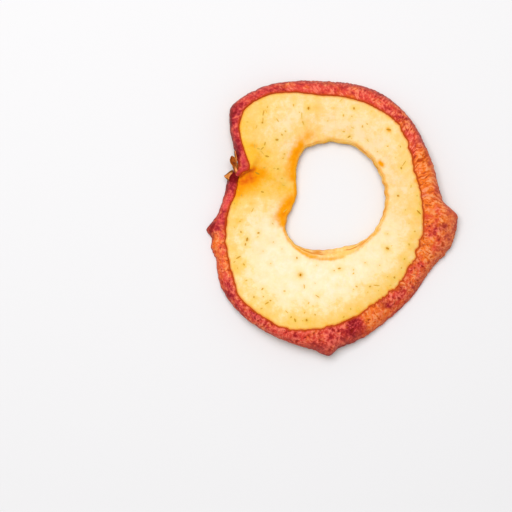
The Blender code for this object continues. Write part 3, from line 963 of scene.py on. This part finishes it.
def leaf(root, heading, roll, length, widths, cup, curl, bend, seed):
    """The points of one closed thin leaf, and how close each is to its sides and its tip."""
    steps, sides = 28, 14
    s = np.linspace(0, 1, steps + 1)[:, None]
    w = np.linspace(-1, 1, sides + 1)[None, :]
    half = np.interp(s, np.linspace(0, 1, len(widths)), widths)
    dice = np.random.default_rng(seed)
    waves = [np.sin(s * k * 4 + w * 2 + dice.uniform(0, 6)) for k in (1, 2, 3)]
    wave = sum(waves) * 0.00004
    x = length * s + 0 * w
    y = half * w + 0.00008 * np.sin(7 * s + seed) - bend * s**2
    z = cup * half * w**2 + curl * s**2 + wave
    top = np.stack((x, y, z + LEAF_THICKNESS / 2), -1)
    low = np.stack((x, y, z - LEAF_THICKNESS / 2), -1)[:, ::-1]
    loop = np.concatenate((top, low), 1)
    side = w**2 + 0 * s
    side = np.concatenate((side, side[:, ::-1]), 1)
    ahead = s + 0 * side
    turn = Matrix.Rotation(math.radians(heading), 4, "Z")
    turn = turn @ Matrix.Rotation(math.radians(roll), 4, "X")
    return loop @ np.array(turn)[:3, :3].T + np.array(root), side, ahead


def polar(angle, radius, height):
    turn = math.radians(angle)
    x, y = radius * math.cos(turn), radius * math.sin(turn)
    return (HOLE_CENTRE[0] + x, HOLE_CENTRE[1] + y, height)


SPOON = (0.0004, 0.00042, 0.00042, 0.0004, 0.00055, 0.0008, 0.00088, 0.00074, 0.00018)
TRIANGLE = (0.00195, 0.0015, 0.0010, 0.00055, 0.00006)
SCRAP = (0.0003, 0.0004, 0.00045, 0.0003, 0.0001)
SHIELD = (0.0007, 0.00085, 0.0008, 0.0006, 0.00025)
SEPALS = {
    "spoon_sepal": (polar(164.9, 0.0259, 0.0044), 121, 8, 0.0048, SPOON, 0.5, 0.0008, 0.0008, 1),
    "tan_sepal": (polar(167.0, 0.0273, 0.0026), 174, -8, 0.0021, TRIANGLE, 0.3, 0.0002, 0.0, 2),
    "scrap_sepal": (polar(158.6, 0.0273, 0.0042), 99, 30, 0.0032, SCRAP, 0.3, 0.0002, 0.0, 3),
    "under_sepal": (polar(164.6, 0.0260, 0.0036), 108, 0, 0.0040, SHIELD, 0.3, 0.0, 0.0, 4),
}
sepals = []
for name, facts in SEPALS.items():
    grid, side, ahead = leaf(*facts)
    thing = skin(name, grid, wrap=False)
    note(thing, "side", side)
    browning = {"spoon_sepal": ease((ahead - 0.3) / 0.2), "under_sepal": 0.6}
    note(thing, "deep", browning.get(name, 0.0) + 0 * ahead)
    thing.data.materials.append(finishes["dry_sepal"])
    sepals.append(thing)

# %% [markdown]
# ## Colours as the eye reads them
#
# We judge colours on a screen, from 0 to 255, but a shader wants light that adds up. This helper
# turns one into the other, so the values below can be compared with the real thing directly.


# %% Helpers for finishes
def paint(red, green, blue):
    """A screen colour, 0 to 255, as the light that a shader wants."""
    shades = [v / 255 for v in (red, green, blue)]
    light = [v / 12.92 if v <= 0.04045 else ((v + 0.055) / 1.055) ** 2.4 for v in shades]
    return (*light, 1.0)


def tint(tree, share, low, high):
    """A colour that goes from low to high as the share goes from 0 to 1."""
    low, high = (paint(*shade) if isinstance(shade, tuple) else shade for shade in (low, high))
    node = wire(tree, "ShaderNodeMix", {0: share, 6: low, 7: high}, data_type="RGBA")
    return node.outputs[2]


def over(tree, colour, share, layer, strength=None):
    """Lays another colour over this one where the share is high."""
    share = share if strength is None else times(tree, share, strength)
    return tint(tree, share, colour, layer)


def kept(tree, name):
    return wire(tree, "ShaderNodeAttribute", attribute_name=name).outputs["Fac"]


def finish(name, facts):
    """The bare tree of a finish, with its Principled shader set."""
    material = finishes[name]
    material.use_nodes = True
    tree = material.node_tree
    shader = tree.nodes["Principled BSDF"]
    for label, value in facts.items():
        shader.inputs[label].default_value = value
    return tree, shader


def dress(tree, shader, colour, height=None, distance=0.0, strength=0.0):
    """Gives a shader its colour, and a bump where there is a height."""
    tree.links.new(colour, shader.inputs["Base Color"])
    if height:
        inputs = {"Height": height, "Distance": distance, "Strength": strength}
        tree.links.new(wire(tree, "ShaderNodeBump", inputs).outputs[0], shader.inputs["Normal"])


# %% [markdown]
# ## The finish of the flesh
#
# Dried apple is creamy to golden, and never one flat colour: wide clouds, small mottles and a fine
# grain lie over each other. It lets light in, so it glows at thin edges, which subsurface
# scattering gives. The brown stains, broken up by the same clouds, the orange next to the peel,
# which partly paints the shade of the crease there, a painted brownish shade on the step of the
# fold, and the cutter's grooves in the wall of the hole come last.

# %% Dried flesh
tree, shader = finish("dried_flesh", {
    "Roughness": 0.6, "Subsurface Weight": 0.30, "Subsurface Scale": 0.0008,
    "Subsurface Radius": (1.0, 0.55, 0.2), "Specular IOR Level": 0.06,
})
spot = wire(tree, "ShaderNodeTexCoord").outputs["Object"]
clouds = cloud(tree, spot, 230.0, 3.0)
mottle = cloud(tree, spot, 560.0)
freckle = cloud(tree, spot, 1250.0)
grain = cloud(tree, spot, 2300.0, 2.0, 0.6)
gold = kept(tree, "yellow")
for noise, amount in ((clouds, 0.7), (mottle, 0.9), (freckle, 0.5), (grain, 0.35)):
    gold = add_noise(tree, gold, noise, amount)
colour = tint(tree, span(tree, gold, -0.2, 0.75, "LINEAR"), (255, 239, 208), (255, 221, 150))
colour = over(tree, colour, kept(tree, "tanned"), (247, 208, 157), 0.4)
colour = over(tree, colour, span(tree, gold, 0.4, 1.5, "LINEAR"), (254, 190, 54))
near_fleck = kept(tree, "halo")
colour = over(tree, colour, near_fleck, (246, 202, 82), 0.75)
colour = over(tree, colour, span(tree, near_fleck, 0.6, 1.0), (230, 172, 50), 0.5)
# Orange next to the peel: partly flesh that browns there, partly painted shade of the crease where the
# peel meets it.
colour = over(tree, colour, span(tree, kept(tree, "to_peel"), 0.7, 0.0), (236, 140, 40), 0.75)
brown = between(tree, span(tree, calc(tree, "ADD", mottle, freckle), 0.7, 1.3), 0.85, 1.15)
brown = times(tree, kept(tree, "stain"), brown)
colour = over(tree, colour, span(tree, brown, 0.03, 0.62), (254, 164, 2))
colour = over(tree, colour, span(tree, brown, 0.5, 1.3), (224, 92, 0))
# Painted shade: a brownish line along the step of the fold, under the knob's edge.
colour = over(tree, colour, kept(tree, "ledge_shade"), (214, 100, 40), 0.75)
scored = times(tree, span(tree, kept(tree, "groove"), 0.52, 0.40), kept(tree, "wall"))
colour = over(tree, colour, scored, (226, 136, 40), 0.8)
dress(tree, shader, colour, grain, 0.0001, 0.5)
print("dried_flesh has", len(tree.nodes), "nodes")

# %% [markdown]
# ## The finish of the peel
#
# The skin of this apple is salmon red, orange where it grew in shade on the tree and crimson in
# patches. The start of the band, where the knob lies over it, gets painted shade as the darkest
# crimson. Its outer side is brown, and elsewhere a dull greyish red that is a painted reflection.
# The crests of the wrinkles get a painted highlight and their grooves painted shade, partly paler
# and denser skin. Dark pores and painted highlights on small pebbles dot the smoother stretches. A
# rounded band gets a painted highlight along its middle and painted shade at both edges. The cut
# edge that borders the flesh dries to a dark line, which also paints the shade of the crease.

# %% Dried peel
tree, shader = finish("dried_peel", {
    "Specular IOR Level": 0.09, "Subsurface Weight": 0.08,
    "Subsurface Scale": 0.0006, "Subsurface Radius": (1.0, 0.35, 0.2),
})
spot = wire(tree, "ShaderNodeTexCoord").outputs["Object"]
shift = {"Vector": spot, "Location": (3.1, 1.7, 0.4)}
shifted = wire(tree, "ShaderNodeMapping", shift).outputs[0]
patches = cloud(tree, spot, 280.0, 2.0, 0.55)
others = cloud(tree, shifted, 320.0, 2.0, 0.55)
blots = cloud(tree, shifted, 800.0)
speckle = cloud(tree, spot, 2000.0, 2.0, 0.6)
crest, outward, roll_light_and_shade = kept(tree, "crest"), kept(tree, "outward"), kept(tree, "roll_light_and_shade")
sunny = add_noise(tree, kept(tree, "orange"), patches, 2.4)
sunny = span(tree, add_noise(tree, sunny, blots, 1.0), 0.05, 1.05)
colour = tint(tree, sunny, (223, 66, 44), (247, 122, 24))
deep = add_noise(tree, kept(tree, "crimson"), others, 2.2)
deep = calc(tree, "ADD", add_noise(tree, deep, blots, -1.7), kept(tree, "crimson_spot"))
# Where the crimson is far above 1 it turns near black: the darkest spots, and the painted shade under
# the knob at the start of the band.
dark_patch_and_knob_shade = span(tree, deep, 1.3, 2.7)
deep = span(tree, calc(tree, "MULTIPLY_ADD", outward, 0.2, deep), 0.35, 1.5)
colour = over(tree, colour, deep, (150, 14, 24))
# Painted highlight: a pink band along the middle of a rounded band, where light from above would catch
# it; pinker on crimson skin.
crown_highlight = times(tree, span(tree, outward, 0.03, 0.20), span(tree, outward, 0.60, 0.34))
crown_highlight = times(tree, crown_highlight, roll_light_and_shade, between(tree, deep, 0.9, 0.3))
crown_highlight_colour = tint(tree, sunny, (232, 80, 82), (252, 112, 54))
colour = over(tree, colour, crown_highlight, over(tree, crown_highlight_colour, deep, (204, 60, 80)))
browned = kept(tree, "browned")
brown_flank = tint(tree, sunny, (212, 60, 14), (250, 106, 18))
brown_flank = over(tree, brown_flank, deep, (140, 16, 6))
# Painted reflection: where the outer side isn't browned it is dull greyish pink, as the white
# surroundings would reflect on a side turned from the light.
reflected_flank = tint(tree, sunny, (164, 80, 74), (214, 100, 72))
flank = tint(tree, browned, reflected_flank, brown_flank)
start, stop = between(tree, browned, 0.36, 0.27), between(tree, browned, 0.80, 0.68)
outer_side = times(tree, span(tree, outward, start, stop), between(tree, browned, 0.85, 0.95))
colour = over(tree, colour, outer_side, flank)
# Painted highlight on the crests of the wrinkles, partly also paler skin there: salmon pink, or pinkish
# red on crimson skin, weaker on the outer side.
highlight_tint = tint(tree, sunny, (250, 122, 98), (255, 164, 104))
highlight_tint = over(tree, highlight_tint, deep, (226, 80, 78))
pale = add_noise(tree, crest, blots, 0.8)
lit = times(tree, span(tree, pale, 0.50, 0.84), between(tree, outer_side, 1.0, 0.35))
colour = over(tree, colour, lit, highlight_tint)
# Darker grooves: partly denser pigment in the folds, partly painted shade in them.
groove_shade_tint = tint(tree, sunny, (146, 18, 16), (186, 62, 6))
groove_pigment_and_shade = times(tree, span(tree, crest, 0.44, 0.10), between(tree, outer_side, 0.95, 0.6))
colour = over(tree, colour, groove_pigment_and_shade, groove_shade_tint)
smooth = between(tree, kept(tree, "ridged"), 1.0, 0.3)
# Painted highlights on the small raised pebbles of the smoother stretches, in the highlight tint.
pebble_highlight_area = times(tree, smooth, between(tree, outer_side, 0.75, 0.45))
colour = over(tree, colour, times(tree, span(tree, speckle, 0.54, 0.68), pebble_highlight_area), highlight_tint)
pores = times(tree, span(tree, speckle, 0.42, 0.28), times(tree, smooth, 0.9))
colour = over(tree, colour, pores, (140, 26, 20))
# Painted shade at both edges of a rounded band: red-brown along the inner edge, wider on the knob, and
# dark brown along the outer one.
inner_shade_edge = between(tree, span(tree, roll_light_and_shade, 1.05, 1.3), 0.17, 0.36)
inner_shade = times(tree, span(tree, outward, inner_shade_edge, 0.03), times(tree, roll_light_and_shade, 0.42))
colour = over(tree, colour, inner_shade, (182, 50, 8))
outer_edge_shade = times(tree, span(tree, outward, 0.66, 0.90), times(tree, roll_light_and_shade, 0.7))
colour = over(tree, colour, outer_edge_shade, (150, 36, 6))
reach = wire(tree, "ShaderNodeAttribute", attribute_name="strip").outputs["Vector"]
across_band = wire(tree, "ShaderNodeSeparateXYZ", {0: reach}).outputs[1]
# The dried cut edge along the flesh, a dark orange-brown line, which also paints the shade of the
# crease where peel and flesh meet.
cut_edge_and_crease_shade = span(tree, add_noise(tree, across_band, blots, 0.5), 0.52, 0.14)
colour = over(tree, colour, cut_edge_and_crease_shade, tint(tree, roll_light_and_shade, (188, 72, 12), (188, 64, 10)), 0.85)
# Painted shade under the knob, and the darkest spots, in near black.
colour = over(tree, colour, dark_patch_and_knob_shade, (112, 0, 4), 0.92)
dress(tree, shader, colour, speckle, 0.00018, 0.9)
dull = calc(tree, "MAXIMUM", cut_edge_and_crease_shade, span(tree, outward, 0.7, 1.0))
tree.links.new(between(tree, dull, 0.40, 0.9), shader.inputs["Roughness"])
print("dried_peel has", len(tree.nodes), "nodes")

# %% [markdown]
# ## Small finishes
#
# The sepals are brown, lighter and more orange where they are thin. The flecks are olive brown.
# Both are too small for much detail, so the sepals get one noise and the flecks none.

# %% Dry sepals and flecks
tree, shader = finish("dry_sepal", {"Roughness": 0.6, "Specular IOR Level": 0.15})
spot = wire(tree, "ShaderNodeTexCoord").outputs["Object"]
blotch = cloud(tree, spot, 1100.0, 3.0, 0.6)
uneven, side = span(tree, blotch, 0.35, 0.65), kept(tree, "side")
thin = tint(tree, uneven, (214, 134, 56), (252, 160, 96))
edged = over(tree, thin, span(tree, side, 0.25, 0.55), (140, 84, 14))
dark = tint(tree, uneven, (112, 42, 2), (172, 84, 12))
rimmed = over(tree, dark, span(tree, side, 0.5, 0.95), (216, 142, 62))
dress(tree, shader, tint(tree, kept(tree, "deep"), edged, rimmed), blotch, 0.0001, 0.5)
tree, shader = finish("vein_fleck", {"Roughness": 0.8, "Specular IOR Level": 0.08})
dress(tree, shader, tint(tree, kept(tree, "tone"), (250, 200, 84), (194, 126, 10)))
print("small finishes ready")

# %% [markdown]
# ## The table, the light and the camera
#
# The slice lies on a plain pale table, lit by one wide soft light from the upper left and an even
# sky, and is seen from straight above through a long lens. The camera stands over a point left of
# the slice and below it, so the slice takes the upper right of the picture.

# %% Stage, light and camera
WINDOW_PLACE, WINDOW_SIZE, WINDOW_POWER = (-0.10, 0.18, 0.68), 0.45, 3.85
SKY_STRENGTH = 0.42
CAMERA_PLACE, CAMERA_HEIGHT = (-0.0196, -0.0096), 0.6
SLICE_TOP, PICTURE_WIDTH, SENSOR = 0.004, 0.1306, 36
bpy.ops.mesh.primitive_plane_add(size=4)
table = bpy.context.object
table.name = "table"
table.data.materials.append(finishes["pale_table"])
finish("pale_table", {
    "Base Color": paint(239, 238, 239), "Roughness": 0.6, "Specular IOR Level": 0.2,
})
world = bpy.data.worlds.new("sky")
bpy.context.scene.world = world
world.use_nodes = True
sky = world.node_tree.nodes["Background"].inputs
sky["Color"].default_value = (1, 1, 1, 1)
sky["Strength"].default_value = SKY_STRENGTH
light = bpy.data.lights.new("window", "AREA")
light.energy = WINDOW_POWER
light.size = WINDOW_SIZE
window = put("window", light)
window.location = WINDOW_PLACE
window.rotation_euler = (-window.location).to_track_quat("-Z", "Y").to_euler()
window.visible_camera = False
camera = put("camera", bpy.data.cameras.new("camera"))
camera.location = (*CAMERA_PLACE, CAMERA_HEIGHT)
camera.data.sensor_width = SENSOR
camera.data.lens = SENSOR * (CAMERA_HEIGHT - SLICE_TOP) / PICTURE_WIDTH
camera.data.clip_start = 0.01
bpy.context.scene.camera = camera
bpy.context.scene.view_settings.view_transform = "Standard"
print(f"lens {camera.data.lens:.0f} mm")

# %% [markdown]
# ## Handing the pieces over
#
# Every piece rides on the part's only body, and together they stand for its one solid. The box of
# what we built is written next to the box of the solid, so the two can be compared.

# %% Riding, replacing and sizes
slots = {"flesh": (flesh, veins, flecks), "peel": (peel, *sepals)}
for thing, slot in ((thing, slot) for slot, things in slots.items() for thing in things):
    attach(thing, "root")
    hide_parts("apple_ring")
table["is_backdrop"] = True
visual_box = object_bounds()
boxes = {"cad": cad_box, "visual": visual_box}
boxes = {name: [[float(v) for v in corner] for corner in box] for name, box in boxes.items()}
print("sizes:", boxes)
